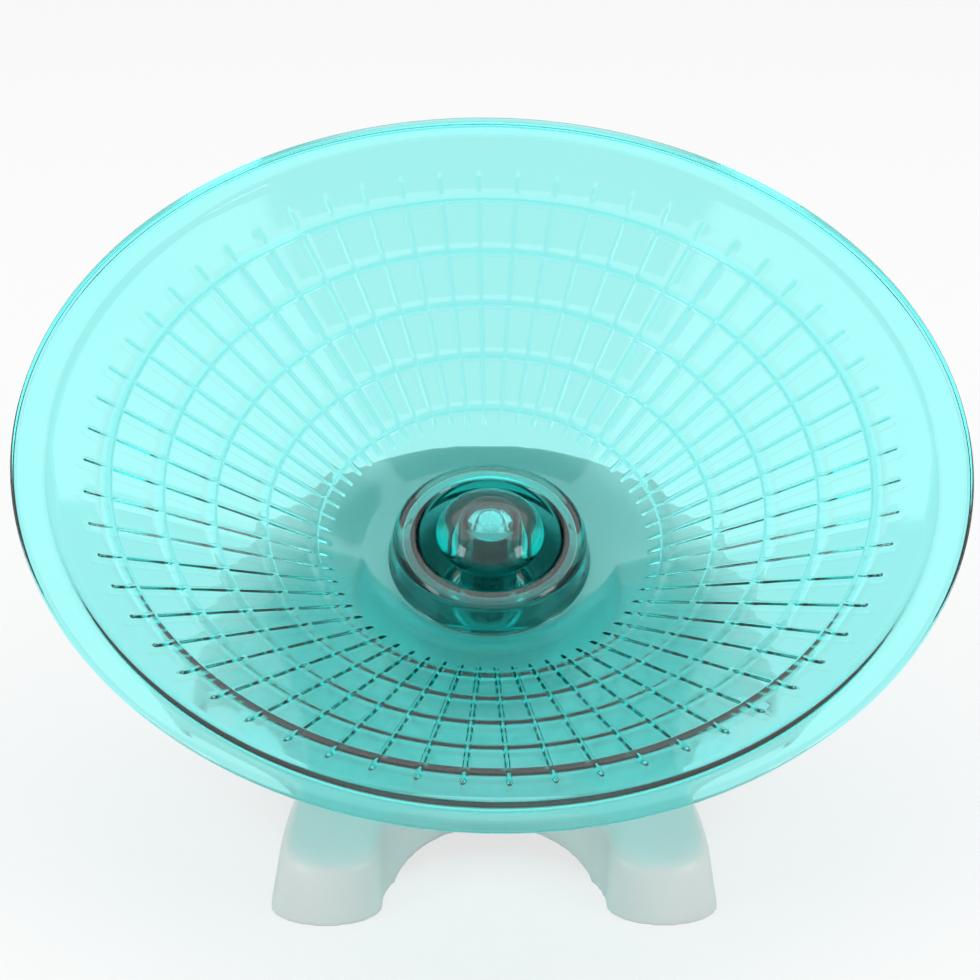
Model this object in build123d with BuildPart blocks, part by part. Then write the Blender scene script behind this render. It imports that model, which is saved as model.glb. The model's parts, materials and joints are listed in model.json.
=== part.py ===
from build123d import *
from math import cos, radians, sin, tan
import os

os.makedirs("parts", exist_ok=True)

# Flying saucer running wheel for a hamster.
# Millimetres, +Z up, floor at Z = 0, front of the saucer towards -Y.
# The saucer spins about an axis that leans towards the front.

# Saucer as a whole
disc_radius = 90.0
disc_tilt = 24.5
rim_height = 72.7
sheet = 2.0

# Rolled lip around the saucer
lip_width = 7.5
lip_rise = 1.0
crease_drop = 0.8

# Running cone and the flat floor in its middle
cone_angle = 29.2
floor_depth = 34.2
floor_blend = 9.0

# Raised grid on the running cone
ring_count = 5
ring_first_radius = 34.0
ring_pitch = 9.6
ring_width = 1.25
ring_height = 0.45
spoke_count = 60
spoke_width = 1.05
spoke_height = 0.65
spoke_inner_radius = 30.6
spoke_outer_radius = 77.1
spoke_phase = 1.2
grid_root = 0.5

# Ring-shaped boss and the bowl inside it
boss_radius = 19.6
boss_top_outer = 18.6
boss_top_inner = 14.1
boss_rise = 7.4
boss_edge_round = 2.2
boss_foot_round = 0.5
bowl_radius = 8.6
bowl_depth = 44.7
bowl_round = 3.0

# Neck and knob
neck_radius = 5.6
neck_top_depth = 23.6
knob_radius = 10.5
knob_middle_depth = 27.0
knob_dome = 5.6
knob_underside = 4.9

# Ball bearing
axle_radius = 2.5
race_radius = 8.0
race_width = 5.0
inner_shoulder = 4.3
outer_shoulder = 6.2
ball_radius = 1.4
ball_count = 8
shield_radius = 6.6
shield_thickness = 0.35
shield_inset = 0.15
cage_wall = 0.75
cage_height = 3.6

# Bearing housing under the bowl
housing_wall = 2.0
housing_lip = 0.3
race_relief = 0.6

# Bush, washer, clip and spacer on the axle
bush_radius = 4.0
bush_length = 8.0
bush_recess = 2.6
washer_radius = 3.8
washer_thickness = 0.5
clip_radius = 3.7
clip_thickness = 0.6
clip_mouth = 3.4
clip_notch = 1.0
groove_depth = 0.4
axle_tip = 1.0
axle_chamfer = 0.4
spacer_radius = 3.9
spacer_length = 1.4

# Stand
wall = 2.2
top_front_height = 13.5
top_front_y = -50.0
top_slope = 18.1
dome_radius = 60.0
dome_drop = 7.3
front_foot_x = 30.3
front_foot_y = -48.0
front_foot_half_width = 10.1
front_foot_nose = 6.8
front_notch_depth = 18.5
waist_x = 37.3
waist_y = -28.0
flank_x = 48.0
flank_y = 8.0
rear_foot_x = 49.0
rear_foot_y = 38.0
rear_foot_half_width = 11.3
rear_foot_tail = 10.5
rear_notch_depth = 2.0
front_arch_height = 5.0
front_arch_width = 36.0
side_arch_height = 8.0
side_arch_length = 50.0
side_arch_y = -2.0
rear_arch_height = 18.0
rear_arch_width = 66.0
well_radius = 17.0
post_radius = 6.0
post_length = 8.0
seat_radius = 5.0
gusset_count = 4
gusset_thickness = 1.8
gusset_drop = 6.0

# Clearances
running_gap = 0.05
pocket_gap = 0.05
shield_gap = 0.15
axial_play = 0.1
saucer_gap = 1.6

# Frame of the saucer: its own XY plane is the plane of the rim
tilt_sin = sin(radians(disc_tilt))
tilt_cos = cos(radians(disc_tilt))
rim_centre = Vector(0, 0, rim_height)
rim_plane = Plane(origin=rim_centre, x_dir=(1, 0, 0), z_dir=(0, -tilt_sin, tilt_cos))
spin_axis = Axis(rim_centre, rim_plane.z_dir)

# Places that follow from the sizes above
cone_slope = tan(radians(cone_angle))
crease_radius = disc_radius - lip_width
floor_corner = crease_radius - (floor_depth - crease_drop) / cone_slope
bearing_top = bowl_depth + sheet
bearing_bottom = bearing_top + race_width
bearing_middle = (bearing_top + bearing_bottom) / 2
ball_pitch_radius = (inner_shoulder + outer_shoulder) / 2
groove_radius = ball_radius + pocket_gap
housing_bottom = bearing_bottom + housing_lip
housing_radius = race_radius + housing_wall
bush_top = neck_top_depth + bush_recess
washer_top = bush_top - washer_thickness
clip_bottom = washer_top - axial_play
clip_top = clip_bottom - clip_thickness
axle_top = clip_top - axle_tip
spacer_bottom = bearing_bottom + spacer_length
deck_depth = floor_depth + sheet + saucer_gap
well_depth = housing_bottom + saucer_gap
well_bottom = well_depth + wall
post_bottom = well_bottom + post_length
axle_bottom = post_bottom - wall
spoke_pitch = 360 / spoke_count
gusset_pitch = 360 / gusset_count
ball_spacing = 360 / ball_count
half_way = cos(radians(45))
spoke_length = (spoke_outer_radius - spoke_inner_radius) / cos(radians(cone_angle))
shield_step = shield_inset + shield_thickness
rear_edge = rear_foot_y + rear_foot_tail
slope_cos = cos(radians(top_slope))
slope_rise = tan(radians(top_slope))
tilt_rise = tan(radians(disc_tilt))


def cone_height(radius):
    return -crease_drop - (crease_radius - radius) * cone_slope


def leg_top_height(y):
    return top_front_height + (y - top_front_y) * slope_rise


def deck_height(y):
    return rim_height - deck_depth / tilt_cos + y * tilt_rise


def disc_level(depth):
    return rim_plane.offset(-depth)


def section_at(angle):
    outwards = rim_plane.x_dir * cos(radians(angle)) + rim_plane.y_dir * sin(radians(angle))
    sideways = rim_plane.x_dir * sin(radians(angle)) - rim_plane.y_dir * cos(radians(angle))
    return Plane(origin=rim_centre, x_dir=outwards, z_dir=sideways)


def pocket_plane_at(angle):
    section = section_at(angle)
    return Plane(origin=disc_level(bearing_middle).origin, x_dir=section.y_dir, z_dir=section.x_dir)


def spoke_plane_at(angle):
    middle = (spoke_inner_radius + spoke_outer_radius) / 2
    section = section_at(angle)
    origin = section.from_local_coords((middle, cone_height(middle), 0))
    along = section.x_dir * cos(radians(cone_angle)) + section.y_dir * sin(radians(cone_angle))
    across = section.y_dir * cos(radians(cone_angle)) - section.x_dir * sin(radians(cone_angle))
    return Plane(origin=origin, x_dir=along, z_dir=across).offset(-grid_root)


section_plane = section_at(0)
bend_y = (deck_height(0) - leg_top_height(0)) / (slope_rise - tilt_rise)

# Saucer: lip, cone, floor, boss ring and bowl are one sheet of even thickness
with BuildPart() as running_disc:
    with BuildSketch(section_plane):
        with BuildLine():
            ThreePointArc(
                (disc_radius, 0),
                (disc_radius - lip_width / 2, lip_rise),
                (crease_radius, -crease_drop),
            )
            FilletPolyline(
                (crease_radius, -crease_drop),
                (floor_corner, -floor_depth),
                (boss_radius, -floor_depth),
                (boss_top_outer, -floor_depth + boss_rise),
                (boss_top_inner, -floor_depth + boss_rise),
                (bowl_radius, -bowl_depth),
                (bush_radius, -bowl_depth),
                radius=[floor_blend, boss_foot_round, boss_edge_round, boss_edge_round, bowl_round],
            )
            offset(amount=sheet, side=Side.LEFT)
        make_face()
        for index in range(ring_count):
            radius = ring_first_radius + index * ring_pitch
            with Locations((radius, cone_height(radius))):
                Rectangle(ring_width, 2 * ring_height, rotation=cone_angle)
    revolve(axis=spin_axis)
    # Spokes of the grid, a little higher than the rings they cross
    with BuildSketch(*[spoke_plane_at(spoke_phase + index * spoke_pitch) for index in range(spoke_count)]):
        SlotOverall(spoke_length, spoke_width)
    extrude(amount=grid_root + spoke_height)
    # Neck up from the bowl and bearing housing down from it
    with BuildSketch(disc_level(neck_top_depth)):
        Circle(neck_radius)
    extrude(amount=neck_top_depth - bowl_depth)
    with BuildSketch(disc_level(bowl_depth + sheet / 2)):
        Circle(housing_radius)
    extrude(amount=bowl_depth + sheet / 2 - housing_bottom)
    with BuildSketch(disc_level(neck_top_depth)):
        Circle(bush_radius)
    extrude(amount=neck_top_depth - bearing_top, mode=Mode.SUBTRACT)
    with BuildSketch(disc_level(bearing_top - race_relief)):
        Circle(outer_shoulder)
    extrude(amount=-race_relief, mode=Mode.SUBTRACT)
    with BuildSketch(disc_level(bearing_top)):
        Circle(race_radius)
    extrude(amount=bearing_top - housing_bottom, mode=Mode.SUBTRACT)
running_disc.part.label = "running_disc"
export_step(running_disc.part, "parts/running_disc.step")

# Knob: a flattened cap with a blind bore that is pressed onto the neck
with BuildPart() as hub_knob:
    with BuildSketch(section_plane):
        with BuildLine():
            Spline(
                (0, knob_dome - knob_middle_depth),
                (knob_radius * half_way, knob_dome * half_way - knob_middle_depth),
                (knob_radius, -knob_middle_depth),
                tangents=[(1, 0), (0, -1)],
            )
            Spline(
                (knob_radius, -knob_middle_depth),
                (knob_radius * half_way, -knob_underside * half_way - knob_middle_depth),
                (0, -knob_underside - knob_middle_depth),
                tangents=[(0, -1), (-1, 0)],
            )
            Line((0, knob_dome - knob_middle_depth), (0, -knob_underside - knob_middle_depth))
        make_face()
    revolve(axis=spin_axis)
    with BuildSketch(disc_level(neck_top_depth)):
        Circle(neck_radius)
    extrude(amount=neck_top_depth - bearing_top, mode=Mode.SUBTRACT)
hub_knob.part.label = "hub_knob"
export_step(hub_knob.part, "parts/hub_knob.step")

# Axle: a steel pin with chamfered ends and a groove for the clip
with BuildPart() as axle:
    with BuildSketch(disc_level(axle_top)):
        Circle(axle_radius)
    extrude(amount=axle_top - axle_bottom)
    chamfer(axle.edges().filter_by(GeomType.CIRCLE), length=axle_chamfer)
    with BuildSketch(disc_level(clip_top)):
        Circle(2 * axle_radius)
        Circle(axle_radius - groove_depth, mode=Mode.SUBTRACT)
    extrude(amount=-clip_thickness, mode=Mode.SUBTRACT)
axle.part.label = "axle"
export_step(axle.part, "parts/axle.step")

# Clip: a flat spring ring, open on one side, that sits in the groove
with BuildPart() as axle_clip:
    with BuildSketch(disc_level(clip_top)):
        Circle(clip_radius)
        Circle(axle_radius - groove_depth, mode=Mode.SUBTRACT)
        with Locations((0, clip_radius)):
            Rectangle(clip_mouth, 2 * clip_radius, mode=Mode.SUBTRACT)
        with Locations((clip_radius, 0), (-clip_radius, 0)):
            Circle(clip_notch, mode=Mode.SUBTRACT)
    extrude(amount=-clip_thickness)
axle_clip.part.label = "axle_clip"
export_step(axle_clip.part, "parts/axle_clip.step")

# Washer between the clip and the bush, turning with the saucer
with BuildPart() as clip_washer:
    with BuildSketch(disc_level(washer_top)):
        Circle(washer_radius)
        Circle(axle_radius + running_gap, mode=Mode.SUBTRACT)
    extrude(amount=-washer_thickness)
clip_washer.part.label = "clip_washer"
export_step(clip_washer.part, "parts/clip_washer.step")

# Bush pressed into the neck, running on the axle
with BuildPart() as neck_bush:
    with BuildSketch(disc_level(bush_top)):
        Circle(bush_radius)
        Circle(axle_radius + running_gap, mode=Mode.SUBTRACT)
    extrude(amount=-bush_length)
    chamfer(neck_bush.faces().filter_by(GeomType.PLANE).edges().filter_by(GeomType.CIRCLE), length=axle_chamfer)
neck_bush.part.label = "neck_bush"
export_step(neck_bush.part, "parts/neck_bush.step")

# Inner ring of the bearing, with a round track for the balls
with BuildPart() as bearing_inner_ring:
    with BuildSketch(section_plane):
        with Locations(((axle_radius + inner_shoulder) / 2, -bearing_middle)):
            Rectangle(inner_shoulder - axle_radius, race_width)
        with Locations((ball_pitch_radius, -bearing_middle)):
            Circle(groove_radius, mode=Mode.SUBTRACT)
    revolve(axis=spin_axis)
bearing_inner_ring.part.label = "bearing_inner_ring"
export_step(bearing_inner_ring.part, "parts/bearing_inner_ring.step")

# Outer ring of the bearing, with a step at each end for a shield
with BuildPart() as bearing_outer_ring:
    with BuildSketch(section_plane):
        with Locations(((outer_shoulder + race_radius) / 2, -bearing_middle)):
            Rectangle(race_radius - outer_shoulder, race_width)
        with Locations((ball_pitch_radius, -bearing_middle)):
            Circle(groove_radius, mode=Mode.SUBTRACT)
        with Locations((outer_shoulder, -bearing_top), (outer_shoulder, -bearing_bottom)):
            Rectangle(2 * (shield_radius - outer_shoulder), 2 * shield_step, mode=Mode.SUBTRACT)
    revolve(axis=spin_axis)
bearing_outer_ring.part.label = "bearing_outer_ring"
export_step(bearing_outer_ring.part, "parts/bearing_outer_ring.step")

# Balls of the bearing
with BuildPart() as bearing_balls:
    with Locations(disc_level(bearing_middle)):
        with PolarLocations(ball_pitch_radius, ball_count):
            Sphere(ball_radius)
bearing_balls.part.label = "bearing_balls"
export_step(bearing_balls.part, "parts/bearing_balls.step")

# Cage that keeps the balls apart
with BuildPart() as bearing_cage:
    with BuildSketch(disc_level(bearing_middle)):
        Circle(ball_pitch_radius + cage_wall / 2)
        Circle(ball_pitch_radius - cage_wall / 2, mode=Mode.SUBTRACT)
    extrude(amount=cage_height / 2, both=True)
    for index in range(ball_count):
        with BuildSketch(pocket_plane_at(index * ball_spacing)):
            Circle(groove_radius)
        extrude(amount=race_radius, mode=Mode.SUBTRACT)
bearing_cage.part.label = "bearing_cage"
export_step(bearing_cage.part, "parts/bearing_cage.step")

# Shields that close the bearing above and below
with BuildPart() as bearing_shield_upper:
    with BuildSketch(disc_level(bearing_top + shield_inset)):
        Circle(shield_radius)
        Circle(inner_shoulder + shield_gap, mode=Mode.SUBTRACT)
    extrude(amount=-shield_thickness)
bearing_shield_upper.part.label = "bearing_shield_upper"
export_step(bearing_shield_upper.part, "parts/bearing_shield_upper.step")

with BuildPart() as bearing_shield_lower:
    with BuildSketch(disc_level(bearing_bottom - shield_inset)):
        Circle(shield_radius)
        Circle(inner_shoulder + shield_gap, mode=Mode.SUBTRACT)
    extrude(amount=shield_thickness)
bearing_shield_lower.part.label = "bearing_shield_lower"
export_step(bearing_shield_lower.part, "parts/bearing_shield_lower.step")

# Spacer that carries the inner ring of the bearing on the post of the stand
with BuildPart() as bearing_spacer:
    with BuildSketch(disc_level(bearing_bottom)):
        Circle(spacer_radius)
        Circle(axle_radius, mode=Mode.SUBTRACT)
    extrude(amount=-spacer_length)
bearing_spacer.part.label = "bearing_spacer"
export_step(bearing_spacer.part, "parts/bearing_spacer.step")


# Stand form: the plan, the side slope and the round back view cut with each other.
# The same form with every face moved in by the wall makes the hollow inside.
def stand_form(inset):
    front_half = front_foot_half_width - inset
    rear_half = rear_foot_half_width - inset
    back = rear_edge - inset
    with BuildPart() as form:
        with BuildSketch():
            with BuildLine():
                flank = Spline(
                    (front_foot_x + front_half, front_foot_y),
                    (waist_x - inset, waist_y),
                    (flank_x - inset, flank_y),
                    (rear_foot_x + rear_half, rear_foot_y),
                    tangents=[(0, 1), (0, 1)],
                )
                mirror(flank, about=Plane.YZ)
                for side in (-1, 1):
                    rear_lobe = (side * rear_foot_x, rear_foot_y)
                    front_lobe = (side * front_foot_x, front_foot_y)
                    EllipticalCenterArc(
                        rear_lobe,
                        rear_half,
                        rear_foot_tail - inset,
                        start_angle=90,
                        arc_size=-90 * side,
                    )
                    EllipticalCenterArc(
                        front_lobe,
                        front_half,
                        front_foot_nose - inset,
                        start_angle=180,
                        arc_size=180,
                    )
                EllipticalCenterArc(
                    (0, front_foot_y),
                    front_foot_x - front_half,
                    front_notch_depth + inset,
                    start_angle=0,
                    arc_size=180,
                )
                ThreePointArc(
                    (rear_foot_x, back),
                    (0, back - rear_notch_depth),
                    (-rear_foot_x, back),
                )
            make_face()
        extrude(amount=dome_radius)
        with BuildSketch(Plane.YZ):
            with BuildLine():
                Polyline(
                    (-dome_radius, 0),
                    (-dome_radius, leg_top_height(-dome_radius) - inset / slope_cos),
                    (bend_y, deck_height(bend_y) - inset / tilt_cos),
                    (dome_radius, deck_height(dome_radius) - inset / tilt_cos),
                    (dome_radius, 0),
                    close=True,
                )
            make_face()
        extrude(amount=dome_radius + rear_foot_half_width, both=True, mode=Mode.INTERSECT)
        with BuildSketch(Plane.XZ):
            with Locations((0, -dome_drop)):
                Circle(dome_radius - inset)
        extrude(amount=dome_radius, both=True, mode=Mode.INTERSECT)
    return form.part


stand_outside = stand_form(0)
stand_inside = stand_form(wall)

# Stand: a hollow shell on four feet with a cup in the deck for the bearing housing
with BuildPart() as base_shell:
    add(stand_outside)
    add(stand_inside, mode=Mode.SUBTRACT)
    # Low arches between the feet: front, both sides and back
    with BuildSketch(Plane.XZ):
        Ellipse(front_arch_width / 2, front_arch_height)
    extrude(amount=dome_radius, mode=Mode.SUBTRACT)
    with BuildSketch(Plane.YZ):
        with Locations((side_arch_y, 0)):
            Ellipse(side_arch_length / 2, side_arch_height)
    extrude(amount=dome_radius, both=True, mode=Mode.SUBTRACT)
    with BuildSketch(Plane.XZ):
        Ellipse(rear_arch_width / 2, rear_arch_height)
    extrude(amount=-dome_radius, mode=Mode.SUBTRACT)
    # Cup hanging from the deck around the bearing housing
    with BuildSketch(disc_level(deck_depth + wall / 2)):
        Circle(well_radius + wall)
    extrude(amount=deck_depth + wall / 2 - well_bottom)
    with BuildSketch(disc_level(deck_depth - wall)):
        Circle(well_radius)
    extrude(amount=deck_depth - wall - well_depth, mode=Mode.SUBTRACT)
    # Post for the axle with a seat for the spacer, and gussets around it
    with BuildSketch(disc_level(spacer_bottom)):
        Circle(seat_radius)
    extrude(amount=spacer_bottom - well_depth - wall / 2)
    with BuildSketch(disc_level(well_depth + wall / 2)):
        Circle(post_radius)
    extrude(amount=well_depth + wall / 2 - post_bottom)
    for index in range(gusset_count):
        with BuildSketch(section_at(index * gusset_pitch)):
            Polygon(
                (post_radius - wall, -well_bottom + wall / 2),
                (well_radius + wall, -well_bottom + wall / 2),
                (well_radius + wall, -well_bottom),
                (post_radius, -well_bottom - gusset_drop),
                (post_radius - wall, -well_bottom - gusset_drop),
                align=None,
            )
        extrude(amount=gusset_thickness / 2, both=True)
    with BuildSketch(disc_level(spacer_bottom)):
        Circle(axle_radius)
    extrude(amount=spacer_bottom - axle_bottom, mode=Mode.SUBTRACT)
base_shell.part.label = "base_shell"
export_step(base_shell.part, "parts/base_shell.step")
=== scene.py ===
import json
from math import atan2, cos, hypot, pi, radians, sin, tan

import bmesh
import bpy
from mathutils import Matrix, Vector


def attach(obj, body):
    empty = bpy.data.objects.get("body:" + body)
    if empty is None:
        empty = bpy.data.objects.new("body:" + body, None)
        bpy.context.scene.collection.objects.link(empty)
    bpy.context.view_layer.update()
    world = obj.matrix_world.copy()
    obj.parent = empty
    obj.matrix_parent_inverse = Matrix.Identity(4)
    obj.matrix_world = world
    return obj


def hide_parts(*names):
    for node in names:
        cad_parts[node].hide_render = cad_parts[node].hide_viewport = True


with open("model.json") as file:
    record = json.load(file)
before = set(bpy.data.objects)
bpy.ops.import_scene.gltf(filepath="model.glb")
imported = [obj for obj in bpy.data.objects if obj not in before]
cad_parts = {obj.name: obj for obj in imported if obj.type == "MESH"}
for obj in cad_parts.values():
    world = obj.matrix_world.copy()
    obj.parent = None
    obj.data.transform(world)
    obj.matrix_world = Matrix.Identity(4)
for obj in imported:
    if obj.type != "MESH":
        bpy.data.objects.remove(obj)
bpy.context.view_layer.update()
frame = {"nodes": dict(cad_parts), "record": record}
MM = 0.001

# Sizes of the saucer, in millimetres, as in the model's source
TILT = radians(24.5)
RIM = Vector((0.0, 0.0, 72.7))
SHEET = 2.0
DISC_R, LIP_W, LIP_RISE, CREASE = 90.0, 7.5, 1.0, 0.8
CONE = radians(29.2)
FLOOR_DEPTH, FLOOR_BLEND = 34.2, 9.0
BOSS_R, BOSS_OUT, BOSS_IN, BOSS_RISE = 19.6, 18.6, 14.1, 7.4
BOSS_FOOT_ROUND, BOSS_EDGE_ROUND = 0.5, 2.2
BOWL_R, BOWL_DEPTH, BOWL_ROUND = 8.6, 44.7, 3.0
NECK_R, NECK_TOP, BORE_R = 5.6, 23.6, 4.0
HOUSING_R, HOUSING_BOTTOM, SEAT_R = 10.0, 52.0, 8.0
RELIEF_R, RELIEF = 6.2, 0.6
KNOB_R, KNOB_MID, KNOB_DOME, KNOB_LOW = 10.5, 27.0, 5.6, 4.9

# The grid as it is shown, with softer lines than the model's source has
RINGS = [34.0 + 9.6 * i for i in range(5)]
RING_W, RING_H = 1.5, 0.6
SPOKES, SPOKE_W, SPOKE_H = 60, 1.15, 0.42
SPOKE_IN, SPOKE_OUT = 30.6, 77.1
SPOKE_PHASE = radians(1.2)
LINE_CROWN = 1.4

# Small roundings of the saucer's edges
RIM_EASE = 0.01
RIM_EDGE = [(1.0, 1.35), (0.45, 0.85), (0.16, 0.28)]
EASE, EASE_SIDE, EASE_DROP = 0.5, 0.15, 0.12
CHAMFER = 0.3
NECK_FOOT, HOUSING_FOOT = 0.6, 0.9

# How finely the saucer's surface is divided
LIP_STEPS, ROUND_STEPS = 16, 10
CONE_FOOT_R, ROWS_FROM_R, ROWS_TO_R = 27.0, 81.4, 27.6
FINE_ROW, COARSE_ROW, NEAR_LINE = 0.16, 1.1, 0.9
UNDER_BOWL = 40.0
SPOKE_COLUMNS = (-0.72, -0.53, -0.42, -0.25, 0.0, 0.25, 0.42, 0.53, 0.72)
BETWEEN_COLUMNS = (0.34, 0.5, 0.66)
LEAST_SPREAD = 24.0

CREASE_R = DISC_R - LIP_W
SLOPE = tan(CONE)
AXIS = Vector((0.0, -sin(TILT), cos(TILT)))
BACK = Vector((0.0, cos(TILT), sin(TILT)))


def place(radius, angle, height):
    """World place, in metres, of a point of the saucer given by radius, angle and height along its axis."""
    out = Vector((cos(angle), 0.0, 0.0)) + BACK * sin(angle)
    return (RIM + out * radius + AXIS * height) * MM


def rounded(points, radii, steps=ROUND_STEPS):
    """A polyline with its inner corners rounded."""
    line = [points[0]]
    for before, corner, after, radius in zip(points, points[1:], points[2:], radii):
        a = Vector(before) - Vector(corner)
        b = Vector(after) - Vector(corner)
        a.normalize()
        b.normalize()
        half = a.angle(b) / 2
        reach = radius / tan(half)
        centre = Vector(corner) + (a + b).normalized() * (radius / sin(half))
        start = Vector(corner) + a * reach
        stop = Vector(corner) + b * reach
        turn_a = atan2(start.y - centre.y, start.x - centre.x)
        turn_b = atan2(stop.y - centre.y, stop.x - centre.x)
        sweep = (turn_b - turn_a + pi) % (2 * pi) - pi
        for i in range(steps + 1):
            at = turn_a + sweep * i / steps
            line.append((centre.x + radius * cos(at), centre.y + radius * sin(at)))
    line.append(points[-1])
    return line


def arc3(start, middle, stop, steps):
    """Points of the arc through three points."""
    ax, ay = start
    bx, by = middle
    cx, cy = stop
    a2, b2, c2 = ax**2 + ay**2, bx**2 + by**2, cx**2 + cy**2
    d = 2 * (ax * (by - cy) + bx * (cy - ay) + cx * (ay - by))
    ux = (a2 * (by - cy) + b2 * (cy - ay) + c2 * (ay - by)) / d
    uy = (a2 * (cx - bx) + b2 * (ax - cx) + c2 * (bx - ax)) / d
    radius = hypot(ax - ux, ay - uy)
    one = atan2(ay - uy, ax - ux)
    two = atan2(cy - uy, cx - ux)
    sweep = (two - one + pi) % (2 * pi) - pi
    turns = [one + sweep * i / steps for i in range(steps + 1)]
    return [(ux + radius * cos(turn), uy + radius * sin(turn)) for turn in turns]


def cone_height(radius):
    return -CREASE - (CREASE_R - radius) * SLOPE


def cone_line():
    """The running cone from its crease inward, with close rows only where a line of the grid crosses."""
    line = []
    radius = ROWS_FROM_R
    while radius > ROWS_TO_R:
        near = min(abs(radius - ring) for ring in RINGS)
        near = min(near, abs(radius - SPOKE_IN), abs(radius - SPOKE_OUT))
        line.append((radius, cone_height(radius)))
        radius -= FINE_ROW if near < NEAR_LINE else COARSE_ROW
    return line


def offset_line(line, amount):
    """The line moved sideways, to its left as it is walked."""
    moved = []
    for i, point in enumerate(line):
        back = Vector(line[max(i - 1, 0)])
        ahead = Vector(line[min(i + 1, len(line) - 1)])
        along = (ahead - back).normalized()
        moved.append((point[0] - along.y * amount, point[1] + along.x * amount))
    return moved


def crown(distance, width):
    """Height, from 0 to 1, of a rounded rib at this distance from its middle."""
    part = abs(distance) / (width / 2)
    return max(0.0, 1 - part * part) ** LINE_CROWN


def grid_rise(radius, across, on_spoke):
    """Height of the raised grid at a place on the cone."""
    rise = max(RING_H * crown(radius - ring, RING_W) for ring in RINGS)
    if on_spoke:
        half = SPOKE_W / 2
        beyond = max(SPOKE_IN + half - radius, radius - SPOKE_OUT + half, 0.0) / cos(CONE)
        rise = max(rise, SPOKE_H * crown(hypot(across, beyond), SPOKE_W))
    return rise


def mesh_piece(name, points, faces):
    mesh = bpy.data.meshes.new(name)
    mesh.from_pydata(points, [], faces)
    work = bmesh.new()
    work.from_mesh(mesh)
    bmesh.ops.recalc_face_normals(work, faces=work.faces)
    work.to_mesh(mesh)
    work.free()
    mesh.shade_smooth()
    piece = bpy.data.objects.new(name, mesh)
    bpy.context.scene.collection.objects.link(piece)
    return piece


# Saucer: one closed surface, turned around the axis, with the grid raised on its cone
floor_corner = CREASE_R - (FLOOR_DEPTH - CREASE) / SLOPE
boss_top = -FLOOR_DEPTH + BOSS_RISE
housing_top = -BOWL_DEPTH - SHEET
lip = arc3(
    (DISC_R - RIM_EASE, 0.0),
    (DISC_R - LIP_W / 2, LIP_RISE),
    (CREASE_R, -CREASE),
    LIP_STEPS,
)
inner = rounded(
    [
        (CONE_FOOT_R, cone_height(CONE_FOOT_R)),
        (floor_corner, -FLOOR_DEPTH),
        (BOSS_R, -FLOOR_DEPTH),
        (BOSS_OUT, boss_top),
        (BOSS_IN, boss_top),
        (BOWL_R, -BOWL_DEPTH),
        (NECK_R, -BOWL_DEPTH),
    ],
    [FLOOR_BLEND, BOSS_FOOT_ROUND, BOSS_EDGE_ROUND, BOSS_EDGE_ROUND, BOWL_ROUND],
)
top = lip + cone_line() + inner
under = [p for p in offset_line(top, SHEET) if not (p[0] < HOUSING_R and p[1] < -UNDER_BOWL)]
neck = [
    (NECK_R, -BOWL_DEPTH + NECK_FOOT),
    (NECK_R, -NECK_TOP - EASE),
    (NECK_R - EASE_SIDE, -NECK_TOP - EASE_DROP),
    (NECK_R - EASE, -NECK_TOP),
    (BORE_R + CHAMFER, -NECK_TOP),
    (BORE_R, -NECK_TOP - CHAMFER),
    (BORE_R, housing_top + RELIEF),
    (RELIEF_R, housing_top + RELIEF),
    (RELIEF_R, housing_top),
    (SEAT_R, housing_top),
    (SEAT_R, -HOUSING_BOTTOM + CHAMFER),
    (SEAT_R + CHAMFER, -HOUSING_BOTTOM),
    (HOUSING_R - EASE, -HOUSING_BOTTOM),
    (HOUSING_R - EASE_SIDE, -HOUSING_BOTTOM + EASE_DROP),
    (HOUSING_R, -HOUSING_BOTTOM + EASE),
    (HOUSING_R, -BOWL_DEPTH - HOUSING_FOOT),
]
edge = [(DISC_R - inward, -down) for inward, down in RIM_EDGE]
loop = top + neck + under[::-1] + edge

pitch = 2 * pi / SPOKES
columns = []
for spoke in range(SPOKES):
    middle = SPOKE_PHASE + spoke * pitch
    columns += [(middle, across, 0.0) for across in SPOKE_COLUMNS]
    columns += [(middle, 0.0, part * pitch) for part in BETWEEN_COLUMNS]
points = []
for row, (radius, height) in enumerate(loop):
    on_cone = row < len(top) and CONE_FOOT_R < radius < CREASE_R
    spread = max(radius, LEAST_SPREAD)
    for middle, across, part in columns:
        angle = middle + part + across / spread
        rise = grid_rise(radius, across, part == 0.0) if on_cone else 0.0
        points.append(place(radius - rise * sin(CONE), angle, height + rise * cos(CONE)))
wide = len(columns)
tall = len(loop)
faces = []
for row in range(tall):
    here, above = row * wide, (row + 1) % tall * wide
    for col in range(wide):
        beside = (col + 1) % wide
        faces.append((here + col, here + beside, above + beside, above + col))
saucer = mesh_piece("saucer_sheet", points, faces)
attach(saucer, "saucer")
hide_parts("running_disc")

# Knob: a flattened cap with a blind bore
GAP = 0.06
KNOB_AROUND, KNOB_STEP, KNOB_LOW_END = 128, 3, 56
FOOT_FROM, FOOT_WALL, FOOT_EASE = 0.4, 0.25, 0.1
BORE_EASE, BORE_TOP = 0.3, 0.05
dome_turns = [radians(a) for a in range(KNOB_STEP, 91, KNOB_STEP)]
low_turns = [radians(a) for a in range(KNOB_STEP, KNOB_LOW_END, KNOB_STEP)]
profile = [(KNOB_R * sin(turn), KNOB_DOME * cos(turn) - KNOB_MID) for turn in dome_turns]
low = [(KNOB_R * cos(turn), -KNOB_LOW * sin(turn) - KNOB_MID) for turn in low_turns]
profile += [p for p in low if p[0] > NECK_R + FOOT_FROM]
foot = profile[-1][1]
profile += [
    (NECK_R + FOOT_WALL, foot - FOOT_EASE),
    (NECK_R + GAP, foot + FOOT_EASE),
    (NECK_R + GAP, -NECK_TOP + FOOT_WALL),
    (NECK_R - BORE_EASE, -NECK_TOP + BORE_TOP),
]
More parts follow.
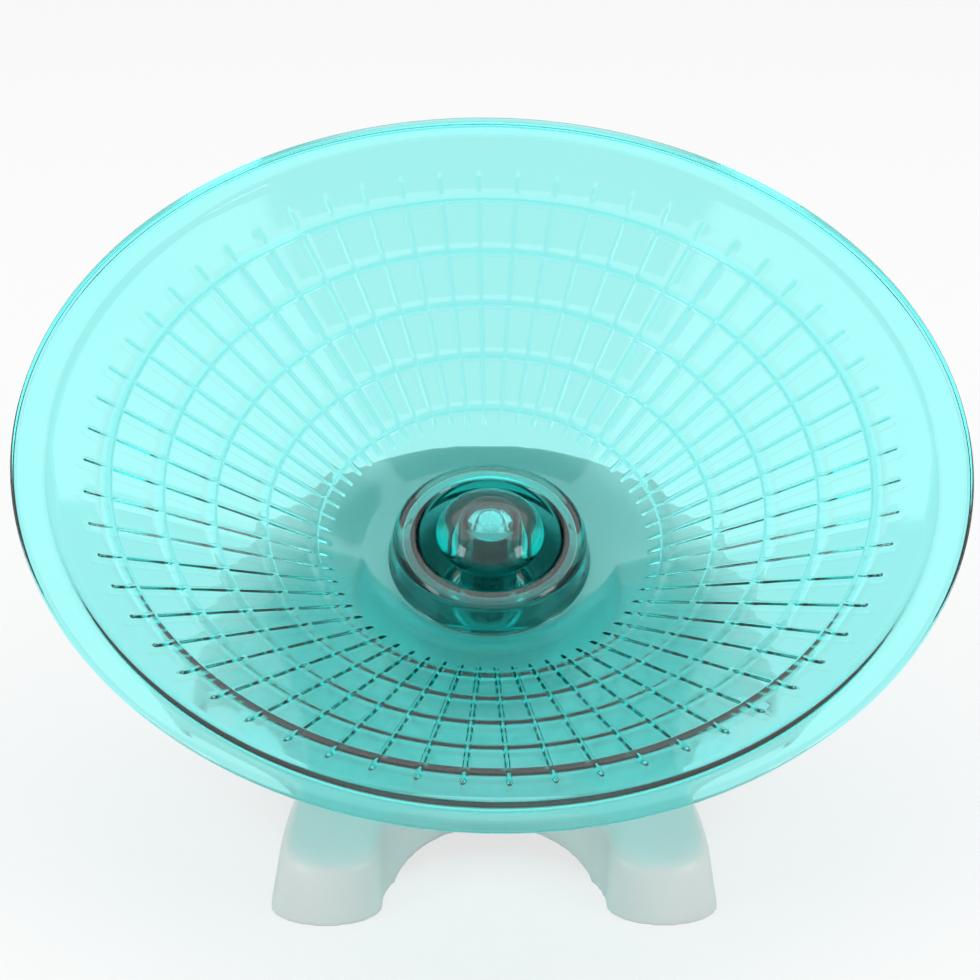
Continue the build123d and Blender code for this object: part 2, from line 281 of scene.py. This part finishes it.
points = [place(0, 0, KNOB_DOME - KNOB_MID)]
for radius, height in profile:
    points += [place(radius, 2 * pi * i / KNOB_AROUND, height) for i in range(KNOB_AROUND)]
points.append(place(0, 0, -NECK_TOP + BORE_TOP))
bore_centre = len(points) - 1
last = 1 + (len(profile) - 1) * KNOB_AROUND
faces = []
for row in range(len(profile) - 1):
    here, below = 1 + row * KNOB_AROUND, 1 + (row + 1) * KNOB_AROUND
    for i in range(KNOB_AROUND):
        j = (i + 1) % KNOB_AROUND
        faces.append((here + i, here + j, below + j, below + i))
for i in range(KNOB_AROUND):
    j = (i + 1) % KNOB_AROUND
    faces.append((0, 1 + i, 1 + j))
    faces.append((last + i, bore_centre, last + j))
knob = mesh_piece("knob_cap", points, faces)
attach(knob, "saucer")
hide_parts("hub_knob")

# Stand: the solid of the model with its moulded edges softened, sizes in metres
VOXEL = 0.0006
SOFTEN_TIMES = 110
SOFTEN_FACTOR = 0.5
FIRM_BELOW, SOFT_ABOVE, LEAST_SOFT = 0.002, 0.007, 0.06
LEG_BACK, LEG_RUN, LEG_LEAN, LEG_WIDER = -0.014, 0.02, 0.15, 1.012
LEG_X, LEG_X_RUN = 0.024, 0.012


def share(value):
    return min(max(value, 0.0), 1.0)


source = frame["nodes"]["base_shell"]
draft = bpy.data.objects.new("stand_draft", source.data.copy())
bpy.context.scene.collection.objects.link(draft)
draft.matrix_world = source.matrix_world
remesh = draft.modifiers.new("remesh", "REMESH")
remesh.mode = "VOXEL"
remesh.voxel_size = VOXEL
graph = bpy.context.evaluated_depsgraph_get()
skin = bpy.data.meshes.new_from_object(draft.evaluated_get(graph))
bpy.data.objects.remove(draft)
stand = bpy.data.objects.new("stand_shell", skin)
bpy.context.scene.collection.objects.link(stand)
group = stand.vertex_groups.new(name="soft")
for vertex in skin.vertices:
    front = share((LEG_BACK - vertex.co.y) / LEG_RUN)
    outside = share((abs(vertex.co.x) - LEG_X) / LEG_X_RUN)
    inward = LEG_LEAN * vertex.co.z * front * outside
    vertex.co.x = vertex.co.x * LEG_WIDER - (inward if vertex.co.x > 0 else -inward)
    softness = (vertex.co.z - FIRM_BELOW) / (SOFT_ABOVE - FIRM_BELOW)
    group.add([vertex.index], max(share(softness), LEAST_SOFT), "REPLACE")
smooth = stand.modifiers.new("smooth", "SMOOTH")
smooth.factor = SOFTEN_FACTOR
smooth.iterations = SOFTEN_TIMES
smooth.vertex_group = "soft"
skin.shade_smooth()
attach(stand, "stand")
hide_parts("base_shell")


# Materials
def new_material(name):
    material = bpy.data.materials.new(name)
    material.use_nodes = True
    nodes = material.node_tree.nodes
    links = material.node_tree.links
    shader = next(n for n in nodes if n.type == "BSDF_PRINCIPLED")
    output = next(n for n in nodes if n.type == "OUTPUT_MATERIAL")
    return material, nodes, links, shader, output


def noise(nodes, links, coords, scale, detail=4.0, rough=0.55):
    node = nodes.new("ShaderNodeTexNoise")
    node.inputs["Scale"].default_value = scale
    node.inputs["Detail"].default_value = detail
    node.inputs["Roughness"].default_value = rough
    links.new(coords.outputs["Object"], node.inputs["Vector"])
    return node.outputs["Fac"]


def remap(nodes, links, value, low, high, start=0.3, stop=0.7):
    node = nodes.new("ShaderNodeMapRange")
    node.inputs["From Min"].default_value = start
    node.inputs["From Max"].default_value = stop
    node.inputs["To Min"].default_value = low
    node.inputs["To Max"].default_value = high
    links.new(value, node.inputs["Value"])
    return node.outputs["Result"]


def two_colours(nodes, links, value, one, two, start=0.35, stop=0.65):
    node = nodes.new("ShaderNodeValToRGB")
    node.color_ramp.elements[0].position = start
    node.color_ramp.elements[0].color = (*one, 1)
    node.color_ramp.elements[1].position = stop
    node.color_ramp.elements[1].color = (*two, 1)
    links.new(value, node.inputs["Fac"])
    return node.outputs["Color"]


def add_bump(nodes, links, shader, value, distance, strength):
    node = nodes.new("ShaderNodeBump")
    node.inputs["Distance"].default_value = distance
    node.inputs["Strength"].default_value = strength
    links.new(value, node.inputs["Height"])
    links.new(node.outputs["Normal"], shader.inputs["Normal"])


def surface(name, colours, rough, patch, grain, depth, strength, metallic=0.0):
    """An opaque material with colour patches, uneven roughness and a fine grain."""
    material, nodes, links, shader, _ = new_material(name)
    coords = nodes.new("ShaderNodeTexCoord")
    patches = noise(nodes, links, coords, patch)
    fine = noise(nodes, links, coords, grain, detail=6.0, rough=0.6)
    links.new(two_colours(nodes, links, patches, *colours), shader.inputs["Base Color"])
    links.new(remap(nodes, links, fine, *rough), shader.inputs["Roughness"])
    shader.inputs["Metallic"].default_value = metallic
    add_bump(nodes, links, shader, fine, depth, strength)
    return material


def clear_plastic(name, absorb, density):
    """Tinted clear plastic: the tint is in the thickness, with faint flow marks and fine rubs on the skin."""
    material, nodes, links, shader, output = new_material(name)
    coords = nodes.new("ShaderNodeTexCoord")
    flow = noise(nodes, links, coords, 22.0, detail=3.0)
    rubs = noise(nodes, links, coords, 420.0, detail=8.0, rough=0.7)
    colour = two_colours(nodes, links, flow, (0.96, 0.99, 0.99), (1.0, 1.0, 1.0))
    links.new(colour, shader.inputs["Base Color"])
    uneven = remap(nodes, links, rubs, 0.03, 0.11, start=0.35, stop=0.75)
    links.new(uneven, shader.inputs["Roughness"])
    shader.inputs["IOR"].default_value = 1.5
    shader.inputs["Transmission Weight"].default_value = 1.0
    add_bump(nodes, links, shader, flow, distance=0.0004, strength=0.12)
    volume = nodes.new("ShaderNodeVolumeAbsorption")
    volume.inputs["Color"].default_value = (*absorb, 1)
    volume.inputs["Density"].default_value = density
    links.new(volume.outputs["Volume"], output.inputs["Volume"])
    return material


saucer_plastic = clear_plastic("saucer_clear_plastic", absorb=(0.12, 0.925, 0.91), density=560.0)
knob_plastic = clear_plastic("knob_clear_plastic", absorb=(0.13, 0.86, 0.85), density=600.0)
stand_plastic = surface(
    "stand_white_plastic",
    colours=((0.80, 0.81, 0.79), (0.84, 0.85, 0.83)),
    rough=(0.28, 0.42),
    patch=18.0,
    grain=700.0,
    depth=0.00006,
    strength=0.25,
)
inner_plastic = surface(
    "bush_plastic",
    colours=((0.66, 0.64, 0.57), (0.76, 0.74, 0.68)),
    rough=(0.45, 0.6),
    patch=120.0,
    grain=900.0,
    depth=0.00005,
    strength=0.3,
)
pin_steel = surface(
    "pin_steel",
    colours=((0.46, 0.46, 0.47), (0.58, 0.58, 0.59)),
    rough=(0.18, 0.38),
    patch=160.0,
    grain=1500.0,
    depth=0.00002,
    strength=0.3,
    metallic=1.0,
)
bearing_steel = surface(
    "bearing_steel",
    colours=((0.56, 0.56, 0.57), (0.66, 0.66, 0.67)),
    rough=(0.08, 0.22),
    patch=200.0,
    grain=1800.0,
    depth=0.00001,
    strength=0.2,
    metallic=1.0,
)
finishes = {
    "saucer_plastic": saucer_plastic,
    "stand_plastic": stand_plastic,
    "inner_plastic": inner_plastic,
    "pin_steel": pin_steel,
    "bearing_steel": bearing_steel,
}
saucer.data.materials.append(saucer_plastic)
knob.data.materials.append(knob_plastic)
skin.materials.clear()
skin.materials.append(stand_plastic)
for part in frame["record"]["subparts"]:
    node = frame["nodes"].get(part["node"])
    if node is not None and node.material_slots:
        for entry in node.material_slots:
            entry.material = finishes[part["material_slot"]]


# White background
def maths(nodes, links, operation, *values):
    """A math node fed by sockets and plain numbers."""
    node = nodes.new("ShaderNodeMath")
    node.operation = operation
    for socket, value in zip(node.inputs, values):
        if isinstance(value, float):
            socket.default_value = value
        else:
            links.new(value, socket)
    return node.outputs[0]


def before_dull(nodes, links, path, white_part):
    """The part of plain white that is kept, none once the ray has met a dull surface."""
    early = maths(nodes, links, "LESS_THAN", path.outputs["Diffuse Depth"], 0.5)
    return maths(nodes, links, "MULTIPLY", early, white_part)


# Floor: paper, partly plain white to the camera and through clear plastic, as a cut-out background is
FLOOR_HALF = 6.0
SHOWN_WHITE, THROUGH_WHITE = 0.72, 0.85
corners = [(-1, -1), (1, -1), (1, 1), (-1, 1)]
floor_mesh = bpy.data.meshes.new("floor")
floor_mesh.from_pydata([(x * FLOOR_HALF, y * FLOOR_HALF, 0) for x, y in corners], [], [(0, 1, 2, 3)])
floor = bpy.data.objects.new("floor", floor_mesh)
bpy.context.scene.collection.objects.link(floor)
floor_paper = surface(
    "floor_paper",
    colours=((0.905, 0.905, 0.905), (0.915, 0.915, 0.915)),
    rough=(0.85, 0.95),
    patch=2.0,
    grain=90.0,
    depth=0.00002,
    strength=0.05,
)
floor_mesh.materials.append(floor_paper)
nodes, links = floor_paper.node_tree.nodes, floor_paper.node_tree.links
shader = next(n for n in nodes if n.type == "BSDF_PRINCIPLED")
output = next(n for n in nodes if n.type == "OUTPUT_MATERIAL")
path = nodes.new("ShaderNodeLightPath")
seen = maths(nodes, links, "MULTIPLY", path.outputs["Is Camera Ray"], SHOWN_WHITE)
through = maths(nodes, links, "MULTIPLY", path.outputs["Is Transmission Ray"], THROUGH_WHITE)
white_part = maths(nodes, links, "MAXIMUM", seen, through)
plain = nodes.new("ShaderNodeEmission")
plain.inputs["Color"].default_value = (0.99, 0.99, 0.99, 1)
blend = nodes.new("ShaderNodeMixShader")
links.new(before_dull(nodes, links, path, white_part), blend.inputs["Fac"])
links.new(shader.outputs[0], blend.inputs[1])
links.new(plain.outputs[0], blend.inputs[2])
links.new(blend.outputs[0], output.inputs["Surface"])

# World: soft grey light, and white to the camera, mirrors and clear plastic
GREY_STRENGTH, WHITE_STRENGTH = 0.38, 1.0
world = bpy.data.worlds.new("studio")
bpy.context.scene.world = world
world.use_nodes = True
nodes, links = world.node_tree.nodes, world.node_tree.links
nodes.clear()
output = nodes.new("ShaderNodeOutputWorld")
blend = nodes.new("ShaderNodeMixShader")
path = nodes.new("ShaderNodeLightPath")
mirrored = maths(nodes, links, "MAXIMUM", path.outputs["Is Camera Ray"], path.outputs["Is Glossy Ray"])
white_part = maths(nodes, links, "MAXIMUM", mirrored, path.outputs["Is Transmission Ray"])
links.new(before_dull(nodes, links, path, white_part), blend.inputs["Fac"])
for socket, strength in ((1, GREY_STRENGTH), (2, WHITE_STRENGTH)):
    light = nodes.new("ShaderNodeBackground")
    light.inputs["Color"].default_value = (1, 1, 1, 1)
    light.inputs["Strength"].default_value = strength
    links.new(light.outputs[0], blend.inputs[socket])
links.new(blend.outputs[0], output.inputs["Surface"])

# Lamps, in metres
LIT_PLACE = Vector((0, 0, 0.05))


def softbox(name, place_at, wide_m, tall_m, watts):
    light = bpy.data.lights.new(name, "AREA")
    light.shape = "RECTANGLE"
    light.size = wide_m
    light.size_y = tall_m
    light.energy = watts
    lamp = bpy.data.objects.new(name, light)
    bpy.context.scene.collection.objects.link(lamp)
    lamp.location = place_at
    lamp.rotation_euler = (LIT_PLACE - Vector(place_at)).to_track_quat("-Z", "Y").to_euler()


softbox("softbox_left", (-1.1, -0.75, 0.5), wide_m=0.35, tall_m=0.9, watts=5.0)
softbox("softbox_right", (1.1, -0.75, 0.5), wide_m=0.35, tall_m=0.9, watts=5.0)
softbox("softbox_top", (0, 0.15, 1.1), wide_m=1.9, tall_m=1.2, watts=10.0)

# Camera at the photo's place: offsets from the middle of the rim in millimetres
ELEVATION, YAW, ROLL = radians(24.0), radians(1.7), radians(0.8)
ACROSS, RISE, AWAY = 0.6, 9.6, 585.1
LENS_MM, SENSOR_MM = 114.56, 36.0
forward = Vector((sin(YAW) * cos(ELEVATION), cos(YAW) * cos(ELEVATION), -sin(ELEVATION)))
right = Vector((cos(YAW), -sin(YAW), 0.0))
up = right.cross(forward)
right, up = right * cos(ROLL) + up * sin(ROLL), up * cos(ROLL) - right * sin(ROLL)
eye = (RIM - forward * AWAY - right * ACROSS - up * RISE) * MM
lens = bpy.data.cameras.new("camera")
lens.sensor_width = SENSOR_MM
lens.lens = LENS_MM
lens.clip_start = 0.01
lens.clip_end = 50.0
camera = bpy.data.objects.new("camera", lens)
bpy.context.scene.collection.objects.link(camera)
camera.matrix_world = Matrix(
    (
        (right.x, up.x, -forward.x, eye.x),
        (right.y, up.y, -forward.y, eye.y),
        (right.z, up.z, -forward.z, eye.z),
        (0, 0, 0, 1),
    )
)
bpy.context.scene.camera = camera
bpy.context.scene.view_settings.view_transform = "Standard"

bpy.context.view_layer.update()
